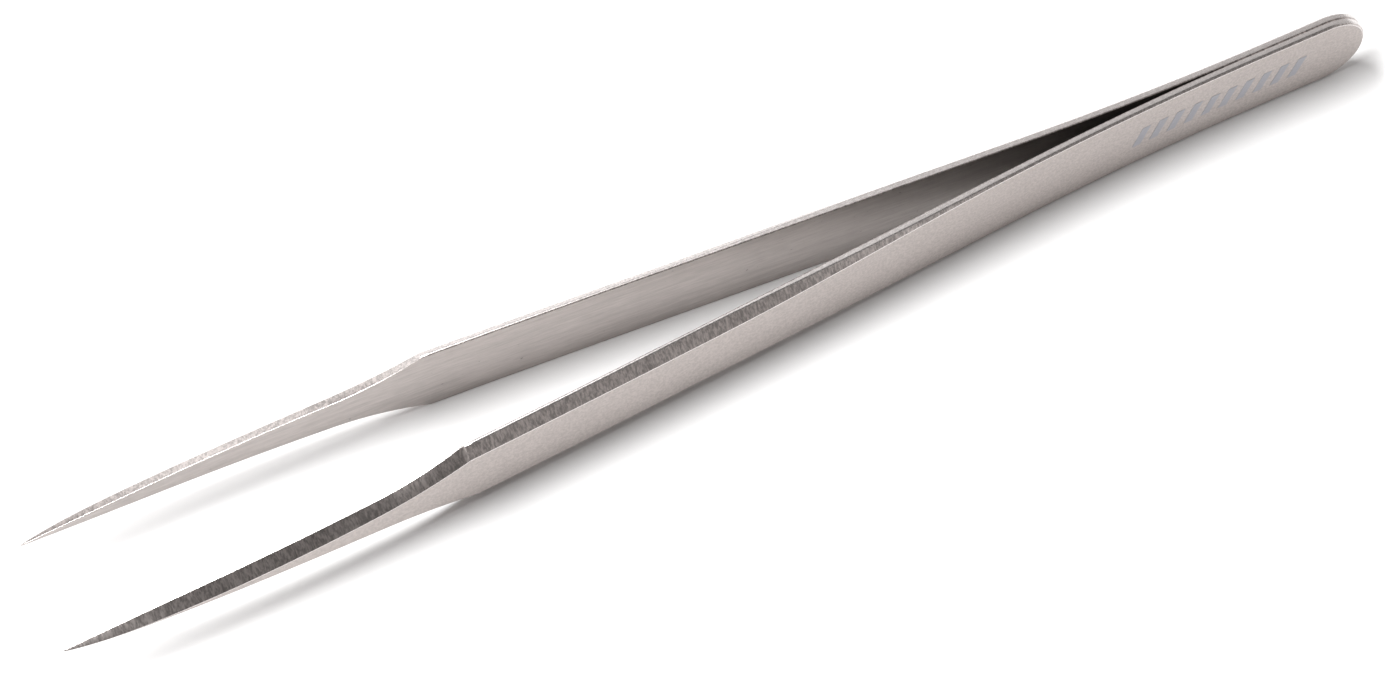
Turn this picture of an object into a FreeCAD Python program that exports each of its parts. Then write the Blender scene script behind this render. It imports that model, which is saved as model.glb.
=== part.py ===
import FreeCAD, Part
import os
import Sketcher

# Precision tweezers: two spring steel leaves welded face to face at the tail.
# Frame: +X to the tail, -X to the points, -Y the front leaf, +Y the rear leaf, +Z up
# across the leaf width. Origin at the middle of the length, on the middle plane
# between the leaves, at the height of the long edges that the part rests on.
# All sizes are in millimetres. "at" is a distance from the tail end along X.

os.makedirs("parts", exist_ok=True)
doc = FreeCAD.newDocument("precision_tweezers")
sheet = doc.addObject("Spreadsheet::Sheet", "dims")

SIZES = [
    # overall
    ("leaf_length", 140.0, "tail end to point"),
    ("leaf_width", 8.95, "height of a leaf across its width"),
    # tail
    ("weld_length", 11.2, "flat seat where the two leaves touch"),
    ("tail_reach", 26.5, "tail end to where the leaf starts to flex"),
    ("tail_thickness", 0.78, "leaf thickness at the tail and in the flexure"),
    ("nose_flat", 0.1, "flat left at the middle of the rounded tail end"),
    ("edge_bevel", 0.2, "small bevel round the outer face of the tail"),
    # plan curve of the inner face: three bends with straight runs between
    ("root_bend_radius", 364.0, "outward bend that opens the leaves"),
    ("root_bend_length", 25.6, "length of the outward bend"),
    ("arm_bend_at", 78.3, "start of the slow inward bend of the arm"),
    ("arm_bend_radius", 1875.0, "slow inward bend of the arm"),
    ("arm_bend_length", 25.5, "length of the slow inward bend"),
    ("blade_bend_at", 103.9, "start of the bend that sets the blades parallel"),
    ("blade_bend_radius", 372.0, "bend that sets the blades parallel"),
    ("blade_bend_length", 22.2, "length of that bend"),
    # arm
    ("arm_thickness", 1.28, "leaf thickness of the arm"),
    ("thicken_run", 33.5, "run from flexure thickness to arm thickness"),
    ("bevel_run", 38.6, "run over which the ground bevel opens out"),
    ("bevel_drop", 1.15, "height of the ground bevel on the arm"),
    ("arm_lip", 0.3, "square edge left beside the inner face"),
    # blade
    ("shoulder_at", 99.0, "shoulder where the blade starts"),
    ("neck_length", 9.8, "hollow ground neck after the shoulder"),
    ("neck_half_width", 2.06, "half height of the inner face at the neck end"),
    ("neck_outer_half", 1.32, "half height of the outer face at the neck end"),
    ("blade_power", 0.87, "roundness of the blade taper, 1 is straight"),
    ("ridge_power", 2.09, "how fast the outer face narrows to a ridge"),
    ("blade_thinning", 0.01, "thickness lost from shoulder to point"),
    ("point_power", 7.5, "how late the thickness runs out to the point"),
    ("point_half_width", 0.06, "half height of the inner face at the point"),
    ("ridge_half_width", 0.02, "half width of the ridge at the point"),
    ("point_thickness", 0.12, "thickness left at the point"),
    ("blade_lip", 0.08, "square edge left beside the inner face on the blade"),
    ("point_lip", 0.03, "square edge left at the point"),
    # welds between the tails
    ("weld_at", 3.4, "tail end to the first weld nugget"),
    ("weld_pitch", 2.9, "spacing of the weld nuggets"),
    ("weld_count", 3, "number of weld nuggets"),
    ("weld_radius", 0.9, "radius of a weld nugget"),
    ("weld_depth", 0.22, "depth of a nugget into each leaf"),
    # printed mark: a row of plain slanted bars
    ("mark_at", 7.2, "tail end to the first bar"),
    ("mark_pitch", 1.95, "spacing of the bars"),
    ("mark_count", 10, "number of bars"),
    ("mark_bar", 0.95, "length of a bar along the leaf"),
    ("mark_height", 2.6, "height of a bar"),
    ("mark_slant", 1.1, "lean of a bar over its height"),
    ("mark_film", 0.02, "thickness of the ink"),
]

ROOT_STEPS = 3
FLEX_STEPS = 4
ARM_STEPS = 8
NECK_STEPS = 5
BLADE_STEPS = 8


def write_cell(row, alias, content, meaning):
    sheet.set("A%d" % row, alias)
    sheet.set("B%d" % row, content)
    sheet.setAlias("B%d" % row, alias)
    sheet.set("C%d" % row, meaning)


def bend(at, start, length, radius):
    """Sideways travel that one bend of the plan curve has given at a distance."""
    ramp = "max(0; {0} - ({1}))".format(at, start)
    past = "max(0; {0} - ({1}) - {2})".format(at, start, length)
    return "({0}^2 - {1}^2) / (2 * {2})".format(ramp, past, radius)


def smooth(fraction):
    """Soft 0 to 1 step of a fraction."""
    held = "min(1; max(0; {0}))".format(fraction)
    return "({0}^2 * (3 - 2 * {0}))".format(held)


def hollow(drop, run):
    """Radius of the arc that leaves its end tangent and rises drop over run."""
    return "(({1}^2 + {0}^2) / (2 * {0}))".format(drop, run)


def station_cells(name, at, stretch):
    """Sheet formulas of the leaf section at one station."""
    spot = name + "_at"
    gap = "{0} - {1} - {2}".format(
        bend(spot, "weld_length", "root_bend_length", "root_bend_radius"),
        bend(spot, "arm_bend_at", "arm_bend_length", "arm_bend_radius"),
        bend(spot, "blade_bend_at", "blade_bend_length", "blade_bend_radius"),
    )
    if stretch == "arm":
        thick = smooth("({0} - flexure_end) / thicken_run".format(spot))
        opened = smooth("({0} - flexure_end) / bevel_run".format(spot))
        thickness = "tail_thickness + (arm_thickness - tail_thickness) * " + thick
        drop = "(edge_bevel + (bevel_drop - edge_bevel) * {0})".format(opened)
        inner_half = "leaf_width / 2"
        outer_half = "leaf_width / 2 - " + drop
        square = "({0}_thick - edge_bevel)".format(name)
        lip = "{0} + (arm_lip - {0}) * {1}".format(square, opened)
    else:
        along = "(({0} - shoulder_at) / blade_length)".format(spot)
        left = "max(0; neck_end - {0})".format(spot)
        past = "(max(0; {0} - neck_end) / (leaf_length - neck_end))".format(spot)
        thickness = (
            "point_thickness + (arm_thickness - point_thickness - blade_thinning"
            " * {0}) * (1 - {0}^point_power)".format(along)
        )
        inner_half = (
            "neck_inner_slope * {0} + neck_inner_radius"
            " - sqrt(neck_inner_radius^2 - {0}^2)"
            " + point_half_width"
            " + (neck_half_width - point_half_width) * (1 - {1})^blade_power"
        ).format(left, past)
        outer_half = (
            "neck_outer_slope * {0} + neck_outer_radius"
            " - sqrt(neck_outer_radius^2 - {0}^2)"
            " + ridge_half_width"
            " + (neck_outer_half - ridge_half_width) * (1 - {1})^ridge_power"
        ).format(left, past)
        lip = "point_lip + (blade_lip - point_lip) * (1 - {0})".format(along)
    return [
        (spot, at, "station"),
        (name + "_gap", gap, "inner face from the middle plane"),
        (name + "_thick", thickness, "leaf thickness"),
        (name + "_inner", inner_half, "half height of the inner face"),
        (name + "_outer", outer_half, "half height of the outer face"),
        (name + "_lip", lip, "square edge beside the inner face"),
    ]


DERIVED = [
    ("half_length", "leaf_length / 2", "middle of the length to an end"),
    ("flexure_end", "weld_length + root_bend_length", "end of the outward bend"),
    ("neck_end", "shoulder_at + neck_length", "end of the hollow ground neck"),
    ("blade_length", "leaf_length - shoulder_at", "shoulder to point"),
    ("nose_radius", "(leaf_width - nose_flat) / 2", "round of the tail end"),
    (
        "neck_inner_slope",
        "blade_power * (neck_half_width - point_half_width)"
        " / (leaf_length - neck_end)",
        "taper of the inner face where the blade starts",
    ),
    (
        "neck_outer_slope",
        "ridge_power * (neck_outer_half - ridge_half_width)"
        " / (leaf_length - neck_end)",
        "taper of the outer face where the blade starts",
    ),
    (
        "neck_inner_radius",
        hollow(
            "(leaf_width / 2 - neck_half_width - neck_inner_slope * neck_length)",
            "neck_length",
        ),
        "hollow of the inner face outline",
    ),
    (
        "neck_outer_radius",
        hollow(
            "(leaf_width / 2 - bevel_drop - neck_outer_half"
            " - neck_outer_slope * neck_length)",
            "neck_length",
        ),
        "hollow of the outer face outline",
    ),
]


def spread_stations(prefix, start, stop, steps, stretch):
    """Evenly spaced stations from one distance to another, ends included."""
    names = []
    for step in range(steps + 1):
        name = "%s_%s" % (prefix, "abcdefghijklmnopq"[step])
        at = "{0} + ({1} - ({0})) * {2} / {3}".format(start, stop, step, steps)
        DERIVED.extend(station_cells(name, at, stretch))
        names.append(name)
    return names


ROOT = spread_stations("root", "weld_length", "tail_reach", ROOT_STEPS, "arm")
FLEX = spread_stations("flex", "tail_reach", "flexure_end", FLEX_STEPS, "arm")
ARM = spread_stations("arm", "flexure_end", "shoulder_at", ARM_STEPS, "arm")
NECK = spread_stations("neck", "shoulder_at", "neck_end", NECK_STEPS, "blade")
BLADE = spread_stations("blade", "neck_end", "leaf_length", BLADE_STEPS, "blade")

line = 1
for alias, value, meaning in SIZES:
    write_cell(line, alias, str(value), meaning)
    line += 1
for alias, formula, meaning in DERIVED:
    write_cell(line, alias, "=" + formula, meaning)
    line += 1
doc.recompute()


def size(alias):
    """Present value of a sheet cell."""
    return float(sheet.get(alias))


def origin_plane(body, role):
    return [item for item in body.Origin.OriginFeatures if item.Role == role][0]


def new_body(name):
    body = doc.addObject("PartDesign::Body", name)
    body.Label = name
    return body


def new_sketch(body, name, role):
    sketch = body.newObject("Sketcher::SketchObject", name)
    sketch.AttachmentSupport = (origin_plane(body, role), [""])
    sketch.MapMode = "FlatFace"
    return sketch


def close_loop(sketch, first, count):
    """Joins each edge's end to the next edge's start, round a closed outline."""
    for step in range(count):
        here = first + step
        there = first + (step + 1) % count
        sketch.addConstraint(Sketcher.Constraint("Coincident", here, 2, there, 1))


def place_point(sketch, edge, end, across, up, label):
    """Ties a point's two coordinates to sheet formulas."""
    for kind, formula in (("DistanceX", across), ("DistanceY", up)):
        if formula is None:
            continue
        name = "%s_%s" % (label, kind[-1].lower())
        index = sketch.addConstraint(Sketcher.Constraint(kind, edge, end, 1.0))
        sketch.renameConstraint(index, name)
        sketch.setExpression("Constraints." + name, formula)


def polygon(sketch, points):
    """Closed outline of straight edges. Each point is two sheet formulas."""
    count = len(points)
    rough = [(1.0 * step, 1.0 * (step * step % 5)) for step in range(count)]
    first = sketch.GeometryCount
    for step in range(count):
        start = FreeCAD.Vector(rough[step][0], rough[step][1], 0)
        stop_at = rough[(step + 1) % count]
        stop = FreeCAD.Vector(stop_at[0], stop_at[1], 0)
        sketch.addGeometry(Part.LineSegment(start, stop), False)
    close_loop(sketch, first, count)
    for step, point in enumerate(points):
        place_point(sketch, first + step, 1, point[0], point[1], "p%d" % step)


def section(body, station):
    """Six-sided cross-section of the front leaf at one station."""
    sketch = new_sketch(body, "section_" + station, "YZ_Plane")
    sketch.setExpression(
        "AttachmentOffset.Base.z", "dims.half_length - dims.%s_at" % station
    )
    inner = "-dims.%s_gap" % station
    lip = "-dims.{0}_gap - dims.{0}_lip".format(station)
    outer = "-dims.{0}_gap - dims.{0}_thick".format(station)
    middle = "dims.leaf_width / 2"
    low = "{0} - dims.{1}_inner".format(middle, station)
    high = "{0} + dims.{1}_inner".format(middle, station)
    low_out = "{0} - dims.{1}_outer".format(middle, station)
    high_out = "{0} + dims.{1}_outer".format(middle, station)
    polygon(
        sketch,
        [
            (inner, low),
            (inner, high),
            (lip, high),
            (outer, high_out),
            (outer, low_out),
            (lip, low),
        ],
    )
    return sketch


def loft(body, name, stations):
    """Skin through the leaf sections at the stations."""
    sketches = [section(body, station) for station in stations]
    skin = body.newObject("PartDesign::AdditiveLoft", name)
    skin.Profile = sketches[0]
    skin.Sections = sketches[1:]
    skin.Ruled = False
    body.Tip = skin
    for sketch in sketches:
        sketch.Visibility = False
    return skin


def pad(body, name, sketch, length):
    feature = body.newObject("PartDesign::Pad", name)
    feature.Profile = sketch
    feature.setExpression("Length", length)
    body.Tip = feature
    sketch.Visibility = False
    return feature


def row(body, name, feature, sketch, count, pitch):
    """Repeats a feature towards the points of the tweezers."""
    pattern = body.newObject("PartDesign::LinearPattern", name)
    pattern.Originals = [feature]
    pattern.Direction = (sketch, ["H_Axis"])
    pattern.Reversed = True
    pattern.setExpression("Occurrences", count)
    pattern.setExpression("Length", "({0} - 1) * {1}".format(count, pitch))
    body.Tip = pattern
    return pattern


def weld_circle(body, name):
    sketch = new_sketch(body, name, "XZ_Plane")
    spot = FreeCAD.Vector(size("half_length") - size("weld_at"), 1, 0)
    circle = Part.Circle(spot, FreeCAD.Vector(0, 0, 1), size("weld_radius"))
    sketch.addGeometry(circle)
    place_point(
        sketch, 0, 3, "dims.half_length - dims.weld_at", "dims.leaf_width / 2", "weld"
    )
    index = sketch.addConstraint(Sketcher.Constraint("Radius", 0, 1.0))
    sketch.renameConstraint(index, "weld_radius")
    sketch.setExpression("Constraints.weld_radius", "dims.weld_radius")
    return sketch


def near(value, target, slack=1e-4):
    return abs(value - target) < slack


# Front tail: flat weld seat with a rounded end and a bevel round its outer face, the
# start of the root bend, and a shallow seat for each weld nugget in the inner face.
tail = new_body("front_leaf_tail")
seat_outline = new_sketch(tail, "seat_outline", "XZ_Plane")
polygon(
    seat_outline,
    [
        ("dims.half_length - dims.weld_length", "0"),
        ("dims.half_length", "0"),
        ("dims.half_length", "dims.leaf_width"),
        ("dims.half_length - dims.weld_length", "dims.leaf_width"),
    ],
)
tail_pad = pad(tail, "seat_strip", seat_outline, "dims.tail_thickness")
doc.recompute()

end_x = size("half_length")
seat_x = end_x - size("weld_length")
corners = []
for number, edge in enumerate(tail_pad.Shape.Edges, 1):
    box = edge.BoundBox
    if near(box.XMin, end_x) and near(box.ZMin, box.ZMax):
        corners.append("Edge%d" % number)
nose = tail.newObject("PartDesign::Fillet", "tail_nose")
nose.Base = (tail_pad, corners)
nose.setExpression("Radius", "dims.nose_radius")
doc.recompute()

rim = []
for number, edge in enumerate(nose.Shape.Edges, 1):
    box = edge.BoundBox
    on_outer_face = near(box.YMax, -size("tail_thickness"))
    if on_outer_face and not near(box.XMax, seat_x):
        rim.append("Edge%d" % number)
bevel = tail.newObject("PartDesign::Chamfer", "tail_bevel")
bevel.Base = (nose, rim)
bevel.setExpression("Size", "dims.edge_bevel")
doc.recompute()
loft(tail, "tail_root", ROOT)
doc.recompute()

whole_volume = tail.Tip.Shape.Volume
seat_sketch = weld_circle(tail, "weld_seat_outline")
seat_cut = tail.newObject("PartDesign::Pocket", "weld_seat")
seat_cut.Profile = seat_sketch
seat_cut.setExpression("Length", "dims.weld_depth")
doc.recompute()
if seat_cut.Shape.Volume > whole_volume - 1e-6:
    seat_cut.Reversed = not seat_cut.Reversed
    doc.recompute()
row(tail, "weld_seats", seat_cut, seat_sketch, "dims.weld_count", "dims.weld_pitch")

# Front flexure: the thin curved root of the leaf, which bends when it is squeezed.
flexure = new_body("front_leaf_flexure")
loft(flexure, "flexure_strip", FLEX)

# Front arm: the thicker grip with ground bevels, then the hollow ground neck and the
# tapered blade down to the point.
arm = new_body("front_leaf_arm")
loft(arm, "grip", ARM)
loft(arm, "neck", NECK)
loft(arm, "blade", BLADE)

# Weld nuggets: one short round slug across the seam at each weld.
nuggets = new_body("weld_nuggets")
nuggets.AllowCompound = True
nugget_sketch = weld_circle(nuggets, "nugget_outline")
nugget = pad(nuggets, "nugget", nugget_sketch, "2 * dims.weld_depth")
nugget.Midplane = True
row(nuggets, "nugget_row", nugget, nugget_sketch, "dims.weld_count", "dims.weld_pitch")

# Printed mark: a row of slanted bars of ink that follows the front tail's outer face.
bars = new_body("mark_bars")
bars.AllowCompound = True
bar_sketch = new_sketch(bars, "bar_outline", "XZ_Plane")
bar_right = "dims.half_length - dims.mark_at"
bar_left = bar_right + " - dims.mark_bar"
bar_low = "(dims.leaf_width - dims.mark_height) / 2"
bar_high = "(dims.leaf_width + dims.mark_height) / 2"
polygon(
    bar_sketch,
    [
        (bar_left + " - dims.mark_slant / 2", bar_low),
        (bar_right + " - dims.mark_slant / 2", bar_low),
        (bar_right + " + dims.mark_slant / 2", bar_high),
        (bar_left + " + dims.mark_slant / 2", bar_high),
    ],
)
bar = pad(bars, "bar", bar_sketch, "2 * dims.tail_thickness")
row(bars, "bar_row", bar, bar_sketch, "dims.mark_count", "dims.mark_pitch")

raised = doc.addObject("Part::Compound", "raised_tail")
raised.Links = [tail]
raised.setExpression("Placement.Base.y", "-dims.mark_film")
inked = doc.addObject("Part::MultiCommon", "inked_tail")
inked.Shapes = [raised, bars]
mark = doc.addObject("Part::Cut", "printed_mark")
mark.Label = "printed_mark"
mark.Base = inked
mark.Tool = tail
doc.recompute()

# The rear leaf is the mirror image of the front one in the middle plane.
pieces = [tail, flexure, arm]
for front in (tail, flexure, arm):
    rear_name = front.Name.replace("front", "rear")
    rear = doc.addObject("Part::Mirroring", rear_name)
    rear.Label = rear_name
    rear.Source = front
    rear.Normal = (0, 1, 0)
    rear.Base = (0, 0, 0)
    pieces.append(rear)
pieces.extend([nuggets, mark])
doc.recompute()

for item in doc.Objects:
    state = [word for word in item.State if word in ("Invalid", "Error")]
    if state:
        raise RuntimeError("%s is %s" % (item.Name, ", ".join(state)))
for piece in pieces:
    if piece.Shape.isNull() or not piece.Shape.isValid():
        raise RuntimeError("%s has no sound shape" % piece.Label)
    if not piece.Shape.Solids:
        raise RuntimeError("%s holds no solid" % piece.Label)

for piece in pieces:
    piece.Shape.exportStep("parts/%s.step" % piece.Label)
    box = piece.Shape.BoundBox
    print(
        "%-20s %d solids %9.3f mm3  x %.2f..%.2f  y %.3f..%.3f  z %.3f..%.3f"
        % (
            piece.Label,
            len(piece.Shape.Solids),
            piece.Shape.Volume,
            box.XMin,
            box.XMax,
            box.YMin,
            box.YMax,
            box.ZMin,
            box.ZMax,
        )
    )
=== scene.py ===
import math

import bmesh
import bpy
import numpy as np
from bpy.props import FloatProperty, FloatVectorProperty, PointerProperty
from mathutils import Matrix, Vector


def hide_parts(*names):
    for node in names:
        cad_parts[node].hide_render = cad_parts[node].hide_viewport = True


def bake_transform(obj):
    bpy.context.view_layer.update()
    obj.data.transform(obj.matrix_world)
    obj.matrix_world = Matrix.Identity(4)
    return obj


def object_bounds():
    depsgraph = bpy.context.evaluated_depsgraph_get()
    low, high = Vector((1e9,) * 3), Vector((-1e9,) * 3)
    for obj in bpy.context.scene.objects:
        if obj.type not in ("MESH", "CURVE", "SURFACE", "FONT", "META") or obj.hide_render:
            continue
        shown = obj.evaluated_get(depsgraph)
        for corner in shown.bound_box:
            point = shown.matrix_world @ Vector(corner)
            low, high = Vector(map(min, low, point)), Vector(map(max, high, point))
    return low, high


bl_info = {
    "name": "Precision tweezers",
    "version": (1, 0, 0),
    "blender": (4, 5, 0),
    "location": "3D View > Sidebar > Tweezers",
    "description": "Leaves, welds, printed bars and stage of a pair of precision tweezers",
    "category": "Object",
}

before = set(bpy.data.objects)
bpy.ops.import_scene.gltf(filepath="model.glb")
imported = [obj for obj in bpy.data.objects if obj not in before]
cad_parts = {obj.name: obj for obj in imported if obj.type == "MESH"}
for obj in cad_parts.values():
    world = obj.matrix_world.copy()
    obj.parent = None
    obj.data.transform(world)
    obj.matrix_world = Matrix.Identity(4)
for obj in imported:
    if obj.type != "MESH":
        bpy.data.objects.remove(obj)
CAD_BOX = [list(corner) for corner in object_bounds()]
MM = 0.001


def length(name, description, default, **settings):
    """A size that a user may change, in metres."""
    return FloatProperty(
        name=name,
        description=description,
        default=default,
        unit="LENGTH",
        precision=5,
        **settings,
    )


def factor(name, description, default, **settings):
    """A plain number that a user may change."""
    return FloatProperty(name=name, description=description, default=default, **settings)


def colour(name, description, default):
    """A colour that a user may change."""
    return FloatVectorProperty(
        name=name,
        description=description,
        default=default,
        subtype="COLOR",
        size=3,
        min=0.0,
        max=1.0,
    )


class TweezersLeafSizes(bpy.types.PropertyGroup):
    """Sizes of one leaf. Distances named "at" run from the tail end."""

    leaf_length: length("Length", "Tail end to point", CAD_BOX[1][0] - CAD_BOX[0][0])
    leaf_width: length("Width", "Height of a leaf across its width", CAD_BOX[1][2])
    tail_thickness: length("Tail thickness", "Thickness of tail and flexure", 0.78 * MM)
    edge_bevel: length("Tail bevel", "Bevel round the tail's outer face", 0.2 * MM)
    weld_length: length("Weld seat", "Flat seat where the leaves touch", 11.2 * MM)
    root_bend_radius: length("Root bend", "Bend that opens the leaves", 364.0 * MM)
    root_bend_length: length("Root bend length", "Length of that bend", 25.6 * MM)
    arm_bend_at: length("Arm bend at", "Start of the inward bend", 78.3 * MM)
    arm_bend_radius: length("Arm bend", "Slow inward bend of the arm", 1875.0 * MM)
    arm_bend_length: length("Arm bend length", "Length of that bend", 25.5 * MM)
    blade_bend_at: length("Blade bend at", "Start of the last bend", 103.9 * MM)
    blade_bend_radius: length("Blade bend", "Sets the blades parallel", 372.0 * MM)
    blade_bend_length: length("Blade bend length", "Length of that bend", 22.2 * MM)
    arm_thickness: length("Arm thickness", "Thickness of the grip", 1.28 * MM)
    thicken_run: length("Thickening", "Run from thin root to thick arm", 33.5 * MM)
    bevel_run: length("Bevel run", "Run over which the bevel opens out", 38.6 * MM)
    bevel_drop: length("Bevel height", "Height of the ground bevel", 1.15 * MM)
    arm_lip: length("Arm lip", "Square edge beside the inner face", 0.3 * MM)
    shoulder_at: length("Shoulder at", "Where the blade starts", 99.0 * MM)
    scoop_length: length("Scoop", "Run of the wheel mark at the shoulder", 0.7 * MM)
    neck_length: length("Neck", "Hollow ground neck", 9.8 * MM)
    neck_half_width: length("Neck half height", "Inner face at the neck end", 2.06 * MM)
    neck_outer_half: length("Neck outer half", "Outer face at the neck end", 1.32 * MM)
    blade_power: factor("Blade roundness", "1 is a straight taper", 0.87)
    ridge_power: factor("Ridge roundness", "How fast the outer face narrows", 2.09)
    blade_thinning: length("Thinning", "Thickness lost down the blade", 0.01 * MM)
    point_power: factor("Point roundness", "How late the point thins", 7.5)
    blade_lip: length("Blade lip", "Square edge left on the blade", 0.08 * MM)
    point_half_width: length("Point half height", "Inner face at the point", 0.06 * MM)
    ridge_half_width: length("Ridge half width", "Outer face at the point", 0.02 * MM)
    point_thickness: length("Point thickness", "Thickness at the point", 0.12 * MM)
    point_lip: length("Point lip", "Square edge left at the point", 0.03 * MM)
    inner_round: length("Inner edge round", "Round of inner edges", 0.12 * MM)
    lip_round: length("Lip round", "Round between lip and bevel", 0.09 * MM)
    outer_round: length("Outer edge round", "Round of outer edges", 0.045 * MM)
    flex_from: length("Flex from", "Where the leaf starts to bend", 26.5 * MM)
    flex_to: length("Flex to", "Where the leaf stops bending", 37.0 * MM)


class TweezersFinish(bpy.types.PropertyGroup):
    """Colours and roughness of the surfaces."""

    satin: colour("Blasted steel", "Outer faces", (0.555, 0.51, 0.49))
    brushed: colour("Brushed steel", "Inner faces", (0.465, 0.427, 0.41))
    polished: colour("Polished edge", "Edges and rounds", (0.80, 0.765, 0.75))
    ground: colour("Ground steel", "Bevels ground across the leaf", (0.55, 0.505, 0.487))
    weld: colour("Weld metal", "Fused metal in the seam", (0.33, 0.31, 0.30))
    ink: colour("Ink", "Printed bars", (0.435, 0.438, 0.475))
    # Painted shade: inner faces are coloured darker near the weld seam, in place of the
    # shade in the narrow gap between the leaves. It is darkest up to the first distance
    # and gone past the second.
    painted_shade_from: length("Painted shade", "Inner faces are darkest to here", 35.0 * MM)
    painted_shade_to: length("Stain end", "Painted shade on inner faces ends here", 85.0 * MM)
    satin_roughness: factor("Blasted roughness", "Outer faces", 0.55, min=0, max=1)
    brushed_roughness: factor("Brushed roughness", "Inner faces", 0.38, min=0, max=1)
    edge_roughness: factor("Edge roughness", "Edges and rounds", 0.27, min=0, max=1)
    ground_roughness: factor("Ground roughness", "Bevels", 0.33, min=0, max=1)


class TweezersStageSizes(bpy.types.PropertyGroup):
    """Camera, light and floor."""

    azimuth: FloatProperty(
        name="Azimuth",
        description="Turn of the camera from straight along +Y",
        default=math.radians(19.29),
        subtype="ANGLE",
    )
    elevation: FloatProperty(
        name="Elevation",
        description="Height of the camera above the floor",
        default=math.radians(60.0),
        subtype="ANGLE",
    )
    roll: FloatProperty(
        name="Roll",
        description="Turn of the camera about its own axis",
        default=math.radians(-6.43),
        subtype="ANGLE",
    )
    distance: length("Distance", "Camera to the point it looks at", 0.3279)
    focus_x: length("Aim X", "Point the camera looks at", -4.563 * MM)
    focus_y: length("Aim Y", "Point the camera looks at", -2.493 * MM)
    focal: factor("Lens", "Focal length in millimetres", 89.14)
    sensor: factor("Sensor", "Sensor width in millimetres", 36.0)
    floor_size: length("Floor", "Side of the floor", 6.0)
    floor_colour: colour("Floor", "Pale floor", (0.86, 0.86, 0.86))
    room_bright: colour("Pale room", "Light of the room", (0.54, 0.52, 0.515))
    room_dim: colour("Card tone", "Light of the dark card", (0.10, 0.094, 0.092))
    card_side: FloatVectorProperty(
        name="Dark card",
        description="Direction of the dark card above the front",
        default=(-0.10, -0.45, 0.89),
        subtype="DIRECTION",
    )
    card_edge: factor("Card edge", "Lean towards the card where it starts", 0.40)
    card_core: factor("Card core", "Lean towards the card where it is darkest", 0.95)
    lamp_place: FloatVectorProperty(
        name="Lamp place",
        description="Middle of the overhead lamp",
        default=(-0.25, 0.170, 0.70),
        subtype="TRANSLATION",
        unit="LENGTH",
    )
    lamp_length: length("Lamp length", "Size of the lamp along the leaves", 0.55)
    lamp_width: length("Lamp width", "Size of the lamp across the leaves", 0.24)
    lamp_power: factor("Lamp power", "Power of the overhead lamp, in watts", 8.8)


# ---------------------------------------------------------------------------
# Leaf shape

ROUND_STEPS = 4
RIM_POINTS = 3 * (ROUND_STEPS + 1)
# Largest share of a face that the round at its edge may take.
ROUND_SHARE = 0.4

# Closely spaced sections at the point, and the number of steps on each run.
TIP_RUN = 6 * MM
TIP_STEPS = 24
BLADE_STEPS = 42
NECK_STEPS = 30
SCOOP_STEPS = 8
ARM_STEPS = 64
ROOT_STEPS = 44
NOSE_STEPS = 24

ZONE_INNER, ZONE_EDGE, ZONE_GROUND, ZONE_OUTER = range(4)


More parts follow.
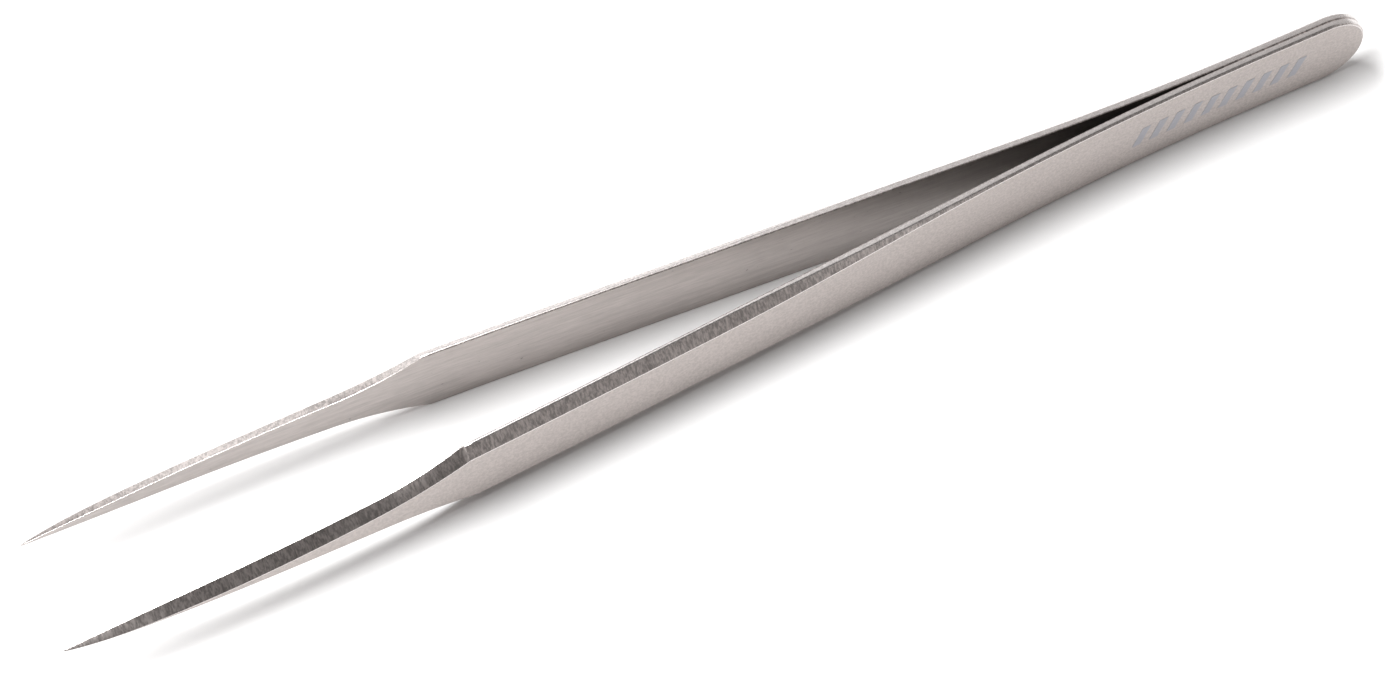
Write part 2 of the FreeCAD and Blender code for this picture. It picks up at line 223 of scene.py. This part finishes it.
class Leaf:
    """Shape of one leaf as functions of the distance from the tail end."""

    def __init__(self, sizes):
        self.z = sizes
        self.neck_end = sizes.shoulder_at + sizes.neck_length
        self.flexure_end = sizes.weld_length + sizes.root_bend_length
        self.nose = sizes.leaf_width / 2
        blade = sizes.leaf_length - self.neck_end
        inner_taper = sizes.neck_half_width - sizes.point_half_width
        outer_taper = sizes.neck_outer_half - sizes.ridge_half_width
        self.inner_slope = sizes.blade_power * inner_taper / blade
        self.outer_slope = sizes.ridge_power * outer_taper / blade
        half = sizes.leaf_width / 2
        run = sizes.neck_length
        inner_drop = half - sizes.neck_half_width - self.inner_slope * run
        half -= sizes.bevel_drop
        outer_drop = half - sizes.neck_outer_half - self.outer_slope * run
        self.inner_radius = self.hollow(inner_drop, run)
        self.outer_radius = self.hollow(outer_drop, run)

    @staticmethod
    def hollow(drop, run):
        """Radius of the arc that ends level and rises drop over run."""
        return (run * run + drop * drop) / (2 * drop)

    @staticmethod
    def soft(fraction):
        """Smooth step from 0 to 1."""
        held = min(1.0, max(0.0, fraction))
        return held * held * (3 - 2 * held)

    @staticmethod
    def bend(at, start, run, radius):
        """Sideways shift of a leaf that bends at one radius over a run."""
        ramp = max(0.0, at - start)
        past = max(0.0, at - start - run)
        return (ramp * ramp - past * past) / (2 * radius)

    def gap(self, at):
        """Inner face from the middle plane."""
        z = self.z
        return (
            self.bend(at, z.weld_length, z.root_bend_length, z.root_bend_radius)
            - self.bend(at, z.arm_bend_at, z.arm_bend_length, z.arm_bend_radius)
            - self.bend(at, z.blade_bend_at, z.blade_bend_length, z.blade_bend_radius)
        )

    def section(self, at):
        """Half height inside and outside, thickness and lip at a distance."""
        z = self.z
        if at <= z.shoulder_at:
            thick = z.tail_thickness + (z.arm_thickness - z.tail_thickness) * self.soft(
                (at - self.flexure_end) / z.thicken_run
            )
            opened = self.soft((at - self.flexure_end) / z.bevel_run)
            half = z.leaf_width / 2
            drop = z.edge_bevel + (z.bevel_drop - z.edge_bevel) * opened
            square = thick - z.edge_bevel
            return half, half - drop, thick, square + (z.arm_lip - square) * opened
        along = (at - z.shoulder_at) / (z.leaf_length - z.shoulder_at)
        left = max(0.0, self.neck_end - at)
        past = max(0.0, at - self.neck_end) / (z.leaf_length - self.neck_end)
        thick = z.point_thickness + (
            z.arm_thickness - z.point_thickness - z.blade_thinning * along
        ) * (1 - along**z.point_power)
        half = (
            self.inner_slope * left
            + self.inner_radius
            - math.sqrt(self.inner_radius**2 - left**2)
            + z.point_half_width
            + (z.neck_half_width - z.point_half_width) * (1 - past) ** z.blade_power
        )
        outer = (
            self.outer_slope * left
            + self.outer_radius
            - math.sqrt(self.outer_radius**2 - left**2)
            + z.ridge_half_width
            + (z.neck_outer_half - z.ridge_half_width) * (1 - past) ** z.ridge_power
        )
        lip = z.point_lip + (z.blade_lip - z.point_lip) * (1 - along)
        scoop = min(1.0, (at - z.shoulder_at) / z.scoop_length)
        lip += (z.arm_lip - lip) * (1 - math.sqrt(1 - (1 - scoop) ** 2))
        return half, outer, thick, lip

    def profile(self, at):
        """Half height, and the rim from inner to outer face as (inset, depth) points."""
        z = self.z
        half, outer, thick, lip = self.section(at)
        drop = half - outer
        corners = [(half, 0.0), (0.0, 0.0), (0.0, lip), (drop, thick)]
        corners.append((half, thick))
        rounds = (z.inner_round, z.lip_round, z.outer_round)
        points = []
        for number, reach in enumerate(rounds, 1):
            here = Vector(corners[number])
            before = Vector(corners[number - 1]) - here
            after = Vector(corners[number + 1]) - here
            reach = min(reach, ROUND_SHARE * min(before.length, after.length))
            first = here + before.normalized() * reach
            last = here + after.normalized() * reach
            for step in range(ROUND_STEPS + 1):
                t = step / ROUND_STEPS
                spot = first * (1 - t) ** 2 + here * (2 * t * (1 - t)) + last * t * t
                points.append((spot[0], spot[1]))
        return half, points


def after_start(start, end, steps):
    """Even steps from start to end, without the start."""
    return np.linspace(start, end, steps + 1)[1:]


def stations(leaf):
    """Distances of the cross-sections, from the point to the rounded tail end."""
    z = leaf.z
    tip_end = z.leaf_length - TIP_RUN
    scoop_turn = after_start(0, math.pi / 2, SCOOP_STEPS)
    runs = [
        [z.leaf_length],
        after_start(z.leaf_length, tip_end, TIP_STEPS),
        after_start(tip_end, leaf.neck_end, BLADE_STEPS),
        after_start(leaf.neck_end, z.shoulder_at + z.scoop_length, NECK_STEPS),
        z.shoulder_at + z.scoop_length * (1 - np.sin(scoop_turn)),
        after_start(z.shoulder_at, leaf.flexure_end, ARM_STEPS),
        after_start(leaf.flexure_end, leaf.nose, ROOT_STEPS),
    ]
    return [float(at) for at in np.concatenate(runs)]


def rim_zone(step):
    """Which finish the rim has between one profile point and the next."""
    if step < ROUND_STEPS or step == 2 * ROUND_STEPS + 1:
        return ZONE_GROUND
    return ZONE_EDGE


class Skin:
    """Points and faces of one leaf. side is -1 for the front leaf and 1 for the rear."""

    def __init__(self, leaf, side):
        self.leaf = leaf
        self.side = side
        self.vertices = []
        self.places = []
        self.faces = []
        self.zones = []
        self.lay_faces(self.straight_rows() + self.nose_rows())

    def point(self, at, up, depth):
        z = self.leaf.z
        along = z.leaf_length / 2 - at
        out = self.side * (self.leaf.gap(at) + depth)
        self.vertices.append((along, out, z.leaf_width / 2 + up))
        self.places.append((at, up, depth))
        return len(self.vertices) - 1

    def face(self, corners, zone):
        """Adds a face. A corner that is named twice counts once."""
        self.faces.append([v for n, v in enumerate(corners) if v not in corners[:n]])
        self.zones.append(zone)

    def straight_rows(self):
        """Upper and lower rim of each cross-section up to the rounded tail."""
        rows = []
        for at in stations(self.leaf):
            half, rim = self.leaf.profile(at)
            top = [self.point(at, half - inset, depth) for inset, depth in rim]
            low = [self.point(at, inset - half, depth) for inset, depth in rim]
            rows.append((top, low))
        return rows

    def nose_rows(self):
        """The same round the tail, where the two rims meet in one."""
        nose = self.leaf.nose
        _, rim = self.leaf.profile(nose)
        rows = []
        for step in range(1, NOSE_STEPS + 1):
            angle = math.pi / 2 * (1 - step / NOSE_STEPS)
            top = []
            low = []
            for inset, depth in rim:
                reach = nose - inset
                at = nose - reach * math.cos(angle)
                up = reach * math.sin(angle)
                top.append(self.point(at, up, depth))
                low.append(self.point(at, -up, depth) if step < NOSE_STEPS else top[-1])
            rows.append((top, low))
        return rows

    def lay_faces(self, rows):
        for (top, low), (top_next, low_next) in zip(rows, rows[1:]):
            for step in range(RIM_POINTS - 1):
                zone = rim_zone(step)
                after = step + 1
                self.face((top[step], top_next[step], top_next[after], top[after]), zone)
                self.face((low[step], low[after], low_next[after], low_next[step]), zone)
            self.face((top[0], low[0], low_next[0], top_next[0]), ZONE_INNER)
            self.face((top[-1], top_next[-1], low_next[-1], low[-1]), ZONE_OUTER)
        point_top, point_low = rows[0]
        self.face(point_top + point_low[::-1], ZONE_GROUND)


def build_leaf(name, skin):
    """One leaf as a closed, smoothly shaded mesh object."""
    mesh = bpy.data.meshes.new(name)
    mesh.from_pydata(skin.vertices, [], skin.faces)
    mesh.polygons.foreach_set("material_index", skin.zones)
    place = mesh.attributes.new("leaf_place", "FLOAT_VECTOR", "POINT")
    place.data.foreach_set("vector", np.array(skin.places, np.float32).ravel())
    shape = bmesh.new()
    shape.from_mesh(mesh)
    bmesh.ops.recalc_face_normals(shape, faces=shape.faces)
    shape.to_mesh(mesh)
    shape.free()
    mesh.shade_smooth()
    piece = bpy.data.objects.new(name, mesh)
    bpy.context.scene.collection.objects.link(piece)
    weighted = piece.modifiers.new("face_weighted", "WEIGHTED_NORMAL")
    weighted.mode = "FACE_AREA"
    weighted.weight = 100
    return piece


# ---------------------------------------------------------------------------
# Materials


class Signal:
    """A node socket that can be used in Python expressions."""

    def __init__(self, tree, socket):
        self.tree = tree
        self.socket = socket

    def math(self, operation, first, second):
        """Adds a Math node on two values or signals."""
        return self.tree.node(
            "ShaderNodeMath", {"operation": operation}, {0: first, 1: second}
        )

    def __add__(self, other):
        return self.math("ADD", self, other)

    def __mul__(self, other):
        return self.math("MULTIPLY", self, other)

    def __sub__(self, other):
        return self.math("SUBTRACT", self, other)

    def __rsub__(self, other):
        return self.math("SUBTRACT", other, self)

    __radd__ = __add__
    __rmul__ = __mul__

    def band(self, low, high):
        """0 below low, 1 above high, and soft between."""
        return self.tree.node(
            "ShaderNodeMapRange",
            {"interpolation_type": "SMOOTHSTEP"},
            {"Value": self, "From Min": low, "From Max": high},
        )


class Graph:
    """A node tree under construction."""

    def __init__(self, tree):
        self.nodes = tree.nodes
        self.links = tree.links
        self.nodes.clear()

    def node(self, kind, settings=None, inputs=None, output=0):
        """Adds a node: its settings first, then the values or links of its sockets."""
        made = self.nodes.new(kind)
        for name, value in (settings or {}).items():
            setattr(made, name, value)
        for name, value in (inputs or {}).items():
            if isinstance(value, Signal):
                self.links.new(value.socket, made.inputs[name])
            else:
                made.inputs[name].default_value = value
        return Signal(self, made.outputs[output])

    def mix(self, amount, first, second):
        """Colour mix. first and second are RGB triples or signals."""
        ends = [(*end, 1.0) if isinstance(end, tuple) else end for end in (first, second)]
        return self.node(
            "ShaderNodeMix",
            {"data_type": "RGBA"},
            {0: amount, 6: ends[0], 7: ends[1]},
            output=2,
        )

    def end(self, kind, surface):
        """Joins the last node to the tree's output."""
        output = self.nodes.new(kind)
        self.links.new(surface.socket, output.inputs["Surface"])


class Finish(Graph):
    """One procedural material under construction."""

    def __init__(self, name):
        self.material = bpy.data.materials.new(name)
        self.material.use_nodes = True
        super().__init__(self.material.node_tree)
        shader = self.node("ShaderNodeBsdfPrincipled")
        self.end("ShaderNodeOutputMaterial", shader)
        self.surface = shader.socket.node

    def place(self):
        """Position on the leaf: along, across and through it, in metres."""
        return self.node(
            "ShaderNodeAttribute",
            {"attribute_type": "GEOMETRY", "attribute_name": "leaf_place"},
            output="Vector",
        )

    def spot(self):
        """Position in the frame, for pieces that keep their shape."""
        return self.node("ShaderNodeTexCoord", output="Object")

    def stretched(self, place, along, across, through):
        """Place scaled by the number of features per metre each way."""
        return self.node(
            "ShaderNodeVectorMath",
            {"operation": "MULTIPLY"},
            {0: place, 1: (along, across, through)},
        )

    def noise(self, place, detail=2.0, roughness=0.5, distortion=0.0):
        """Cloudy pattern from 0 to 1, mostly near 0.5."""
        return self.node(
            "ShaderNodeTexNoise",
            {"noise_dimensions": "3D"},
            {
                "Vector": place,
                "Scale": 1.0,
                "Detail": detail,
                "Roughness": roughness,
                "Distortion": distortion,
            },
        )

    def bump(self, height, distance, strength):
        """Fine relief. distance is how high a height of 1 stands."""
        return self.node(
            "ShaderNodeBump",
            {},
            {"Height": height, "Distance": distance, "Strength": strength},
            output="Normal",
        )

    def finish(self, **sockets):
        """Sets or links the surface's sockets, named with _ for a space."""
        for name, value in sockets.items():
            socket = self.surface.inputs[name.replace("_", " ")]
            if isinstance(value, Signal):
                self.links.new(value.socket, socket)
            elif isinstance(value, tuple):
                socket.default_value = (*value, 1.0)
            else:
                socket.default_value = value
        return self.material


def scaled(tint, amount):
    """A colour made lighter or darker."""
    return tuple(min(1.0, channel * amount) for channel in tint)


def blasted_steel(look):
    """Outer faces: fine, even, bead blasted grain with a few faint rubs."""
    make = Finish("blasted_steel")
    place = make.place()
    grain = make.noise(make.stretched(place, 3600, 3600, 3600), 4.0, 0.75)
    cloud = make.noise(make.stretched(place, 160, 260, 260), 3.0, 0.5)
    rub = make.noise(make.stretched(place, 260, 4200, 4200), 4.0, 0.6)
    tone = grain.band(0.36, 0.64) * 0.6 + cloud * 0.2 + rub * 0.2
    tint = tuple(look.satin)
    base = make.mix(tone, scaled(tint, 0.84), scaled(tint, 1.16))
    roughness = look.satin_roughness - 0.04 + grain * 0.05 + cloud * 0.04
    height = grain * 0.8 + rub * 0.2
    return make.finish(
        Base_Color=base,
        Metallic=1.0,
        Roughness=roughness,
        Normal=make.bump(height, 0.004 * MM, 0.6),
    )


def brushed_steel(look):
    """Inner faces: fine lines along the leaf, a few tiny pits, and painted shade near the
    weld seam.
    """
    make = Finish("brushed_steel")
    place = make.place()
    lines = make.noise(make.stretched(place, 420, 4200, 4200), 4.0, 0.7)
    streaks = make.noise(make.stretched(place, 60, 1700, 1700), 3.0, 0.55)
    cloud = make.noise(make.stretched(place, 120, 200, 200), 2.0)
    pits = make.noise(make.stretched(place, 1500, 2200, 2200), 1.0).band(0.735, 0.80)
    tone = lines * 0.5 + streaks * 0.35 + cloud * 0.15
    tint = tuple(look.brushed)
    base = make.mix(tone.band(0.36, 0.64), scaled(tint, 0.86), scaled(tint, 1.12))
    # Painted shade: the inner faces are darkened towards the weld seam, where the leaves
    # close in on each other.
    along = make.node("ShaderNodeSeparateXYZ", {}, {0: place}, output="X")
    outside_painted_shade = along.band(look.painted_shade_from, look.painted_shade_to)
    base = make.mix(outside_painted_shade, make.mix(0.38, base, scaled(tint, 0.3)), base)
    base = make.mix(pits * 0.7, base, scaled(tint, 0.35))
    roughness = look.brushed_roughness - 0.05 + streaks * 0.08 + lines * 0.03
    height = lines * 0.6 + streaks * 0.4 - pits
    return make.finish(
        Base_Color=base,
        Metallic=1.0,
        Roughness=roughness,
        Normal=make.bump(height, 0.006 * MM, 0.7),
    )


def polished_edge(look):
    """Edges: rubbed bright, with small nicks that catch the light."""
    make = Finish("polished_edge")
    place = make.place()
    nicks = make.noise(make.stretched(place, 2600, 5200, 5200), 3.0, 0.6)
    wave = make.noise(make.stretched(place, 420, 900, 900), 2.0, 0.5)
    tint = tuple(look.polished)
    tone = nicks.band(0.3, 0.7) * 0.6 + wave * 0.4
    base = make.mix(tone, scaled(tint, 0.86), scaled(tint, 1.1))
    roughness = look.edge_roughness - 0.06 + nicks * 0.12
    return make.finish(
        Base_Color=base,
        Metallic=1.0,
        Roughness=roughness,
        Normal=make.bump(nicks * 0.5 + wave * 0.5, 0.012 * MM, 0.6),
    )


def ground_steel(look):
    """Bevels: wheel marks across the leaf."""
    make = Finish("ground_steel")
    place = make.place()
    marks = make.noise(make.stretched(place, 4600, 1500, 1500), 4.0, 0.75, 0.3)
    bands = make.noise(make.stretched(place, 1500, 260, 260), 3.0, 0.6)
    tone = (marks * 0.8 + bands * 0.2).band(0.38, 0.62)
    tint = tuple(look.ground)
    base = make.mix(tone, scaled(tint, 0.66), scaled(tint, 1.34))
    roughness = look.ground_roughness - 0.05 + bands * 0.1
    return make.finish(
        Base_Color=base,
        Metallic=1.0,
        Roughness=roughness,
        Normal=make.bump(marks * 0.8 + bands * 0.2, 0.006 * MM, 0.6),
    )


def weld_metal(look):
    """Fused metal: dull and slightly lumpy."""
    make = Finish("weld_metal")
    lumps = make.noise(make.stretched(make.spot(), 3000, 3000, 3000), 3.0)
    tint = tuple(look.weld)
    return make.finish(
        Base_Color=make.mix(lumps, scaled(tint, 0.8), scaled(tint, 1.2)),
        Metallic=1.0,
        Roughness=0.5 + lumps * 0.1,
        Normal=make.bump(lumps, 0.02 * MM, 0.5),
    )


def printed_ink(look):
    """Thin ink: lets some of the grain show and is worn in places."""
    make = Finish("printed_ink")
    spot = make.spot()
    grain = make.noise(make.stretched(spot, 6000, 6000, 6000), 3.0, 0.6)
    worn = make.noise(make.stretched(spot, 900, 900, 900), 3.0, 0.6).band(0.58, 0.75)
    tint = tuple(look.ink)
    base = make.mix(grain, scaled(tint, 0.88), scaled(tint, 1.1))
    return make.finish(
        Base_Color=make.mix(worn * 0.5, base, scaled(tuple(look.satin), 0.85)),
        Metallic=0.55,
        Roughness=0.45 + grain * 0.1,
        Normal=make.bump(grain, 0.004 * MM, 0.5),
    )


def pale_floor(stage):
    """Plain matt floor."""
    return Finish("pale_floor").finish(
        Base_Color=tuple(stage.floor_colour), Roughness=0.9
    )


# ---------------------------------------------------------------------------
# Operators

# The floor lies this far below the long edges, so that the two don't flicker.
FLOOR_GAP = 0.02 * MM
# Nearest and farthest that the camera sees.
NEAR_CLIP = 0.01
FAR_CLIP = 20.0


class TWEEZERS_OT_leaves(bpy.types.Operator):
    """Makes the two leaves, which bend between the welded tail and the arms"""

    bl_idname = "tweezers.make_leaves"
    bl_label = "Make leaves"

    def execute(self, context):
        sizes = context.scene.tweezers_leaf
        look = context.scene.tweezers_finish
        leaf = Leaf(sizes)
        finishes = [
            brushed_steel(look),
            polished_edge(look),
            ground_steel(look),
            blasted_steel(look),
        ]
        for name, side in (("front", -1), ("rear", 1)):
            piece = build_leaf(name + "_leaf", Skin(leaf, side))
            for finish in finishes:
                piece.data.materials.append(finish)
            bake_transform(piece)
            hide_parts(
                name + "_leaf_tail",
                name + "_leaf_flexure",
                name + "_leaf_arm",
            )
        return {"FINISHED"}


class TWEEZERS_OT_welds(bpy.types.Operator):
    """Gives the weld nuggets in the seam their fused metal"""

    bl_idname = "tweezers.finish_welds"
    bl_label = "Finish welds"

    def execute(self, context):
        dress_node("weld_nuggets", weld_metal(context.scene.tweezers_finish))
        return {"FINISHED"}


class TWEEZERS_OT_mark(bpy.types.Operator):
    """Gives the printed bars on the front tail their ink"""

    bl_idname = "tweezers.finish_mark"
    bl_label = "Finish printed bars"

    def execute(self, context):
        dress_node("printed_mark", printed_ink(context.scene.tweezers_finish))
        return {"FINISHED"}


def dress_node(node, finish):
    """Puts a finish on a CAD node."""
    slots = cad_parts[node].material_slots
    if not slots:
        raise RuntimeError(node + " has no material slot")
    for slot in slots:
        slot.material = finish


class TWEEZERS_OT_stage(bpy.types.Operator):
    """Sets up the floor, the soft light and the camera"""

    bl_idname = "tweezers.set_stage"
    bl_label = "Set stage"

    def execute(self, context):
        stage = context.scene.tweezers_stage
        self.lay_floor(context, stage)
        self.light(context, stage)
        self.aim_camera(context, stage)
        return {"FINISHED"}

    def lay_floor(self, context, stage):
        """Flat sheet just under the long edges."""
        mesh = bpy.data.meshes.new("floor")
        reach = stage.floor_size / 2
        corners = [(-reach, -reach), (reach, -reach), (reach, reach), (-reach, reach)]
        low = CAD_BOX[0][2] - FLOOR_GAP
        mesh.from_pydata([(x, y, low) for x, y in corners], [], [(0, 1, 2, 3)])
        floor = bpy.data.objects.new("floor", mesh)
        floor.data.materials.append(pale_floor(stage))
        context.scene.collection.objects.link(floor)

    def light(self, context, stage):
        """A broad soft lamp overhead, in a pale room with a dark card above the front."""
        world = bpy.data.worlds.new("soft_room")
        context.scene.world = world
        world.use_nodes = True
        room = Graph(world.node_tree)
        ray = room.node("ShaderNodeTexCoord", output="Generated")
        lean = room.node(
            "ShaderNodeVectorMath",
            {"operation": "DOT_PRODUCT"},
            {0: ray, 1: stage.card_side},
            output="Value",
        )
        tint = room.mix(
            lean.band(stage.card_edge, stage.card_core),
            tuple(stage.room_bright),
            tuple(stage.room_dim),
        )
        glow = room.node("ShaderNodeBackground", {}, {"Color": tint})
        room.end("ShaderNodeOutputWorld", glow)

        lamp = bpy.data.lights.new("overhead", "AREA")
        lamp.shape = "RECTANGLE"
        lamp.size = stage.lamp_length
        lamp.size_y = stage.lamp_width
        lamp.energy = stage.lamp_power
        holder = bpy.data.objects.new("overhead", lamp)
        holder.location = stage.lamp_place
        holder.rotation_euler = (-holder.location).to_track_quat("-Z", "Y").to_euler()
        context.scene.collection.objects.link(holder)

    def aim_camera(self, context, stage):
        """Camera above the front left, looking down on the leaves."""
        turn = stage.azimuth
        rise = stage.elevation
        ahead = Vector(
            (
                math.sin(turn) * math.cos(rise),
                math.cos(turn) * math.cos(rise),
                -math.sin(rise),
            )
        )
        across = Vector((math.cos(turn), -math.sin(turn), 0.0))
        over = across.cross(ahead)
        right = math.cos(stage.roll) * across + math.sin(stage.roll) * over
        up = -math.sin(stage.roll) * across + math.cos(stage.roll) * over
        middle = (CAD_BOX[0][2] + CAD_BOX[1][2]) / 2
        spot = Vector((stage.focus_x, stage.focus_y, middle)) - ahead * stage.distance
        axes = Matrix((right, up, -ahead)).transposed().to_4x4()
        lens = bpy.data.cameras.new("camera")
        lens.lens = stage.focal
        lens.sensor_fit = "HORIZONTAL"
        lens.sensor_width = stage.sensor
        lens.clip_start = NEAR_CLIP
        lens.clip_end = FAR_CLIP
        camera = bpy.data.objects.new("camera", lens)
        camera.matrix_world = Matrix.Translation(spot) @ axes
        context.scene.collection.objects.link(camera)
        context.scene.camera = camera
        context.scene.view_settings.view_transform = "Standard"


class TWEEZERS_PT_panel(bpy.types.Panel):
    """Lists the steps that make the tweezers"""

    bl_idname = "TWEEZERS_PT_panel"
    bl_label = "Precision tweezers"
    bl_space_type = "VIEW_3D"
    bl_region_type = "UI"
    bl_category = "Tweezers"

    def draw(self, context):
        for operator in OPERATORS:
            self.layout.operator(operator.bl_idname)


GROUPS = (TweezersLeafSizes, TweezersFinish, TweezersStageSizes)
OPERATORS = (
    TWEEZERS_OT_stage,
    TWEEZERS_OT_leaves,
    TWEEZERS_OT_welds,
    TWEEZERS_OT_mark,
)
CLASSES = GROUPS + OPERATORS + (TWEEZERS_PT_panel,)


def register():
    for item in CLASSES:
        bpy.utils.register_class(item)
    bpy.types.Scene.tweezers_leaf = PointerProperty(type=TweezersLeafSizes)
    bpy.types.Scene.tweezers_finish = PointerProperty(type=TweezersFinish)
    bpy.types.Scene.tweezers_stage = PointerProperty(type=TweezersStageSizes)


def unregister():
    del bpy.types.Scene.tweezers_stage
    del bpy.types.Scene.tweezers_finish
    del bpy.types.Scene.tweezers_leaf
    for item in reversed(CLASSES):
        bpy.utils.unregister_class(item)


def main():
    register()
    bpy.ops.tweezers.set_stage()
    bpy.ops.tweezers.make_leaves()
    bpy.ops.tweezers.finish_welds()
    bpy.ops.tweezers.finish_mark()


if __name__ == "__main__":
    main()
